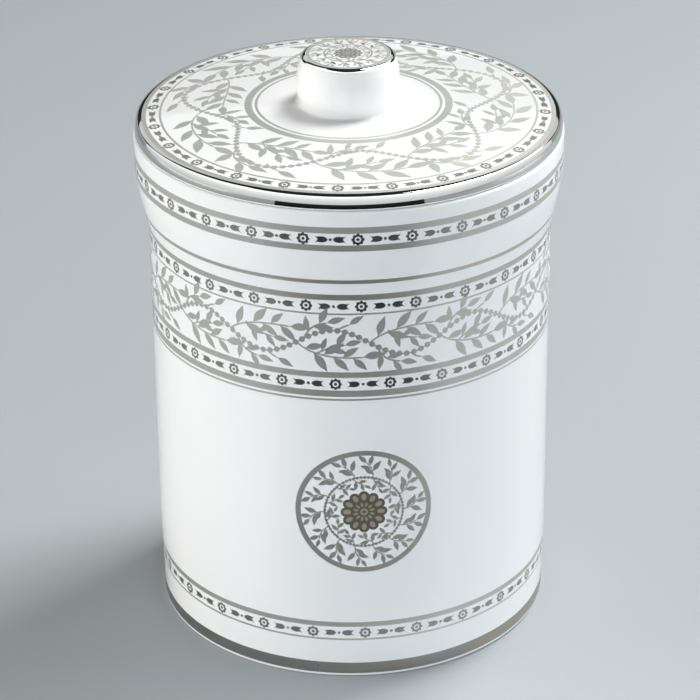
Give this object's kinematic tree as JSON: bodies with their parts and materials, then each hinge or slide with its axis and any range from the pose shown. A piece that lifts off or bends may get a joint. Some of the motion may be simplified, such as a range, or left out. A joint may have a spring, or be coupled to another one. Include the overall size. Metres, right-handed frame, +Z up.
{
  "type": "lidded jar",
  "caption": "Round porcelain jar with a flared collar, a domed lift-off lid with a locating ring, and a drum knob.",
  "frame": {"origin": "centre of the face that the foot ring stands on", "axes": "+Z up along the jar's axis of revolution; -Y is the side with the round medallion, towards the viewer"},
  "size_m": [0.1062, 0.1062, 0.1477],
  "materials": {
    "body_porcelain": "clear gloss glaze, fired platinum bands and print",
    "lid_porcelain": "clear gloss glaze, fired platinum print and mirror edge",
    "knob_porcelain": "clear gloss glaze, fired platinum print and mirror edge"
  },
  "bodies": {
    "jar": {"jar_body": "body_porcelain"},
    "lid": {"lid": "lid_porcelain", "knob": "knob_porcelain"}
  },
  "joints": [
    {"name": "lid_lift", "type": "slide", "parent": "jar", "child": "lid", "axis": [0, 0, 1], "range_m": [0, 0.08]}
  ]
}
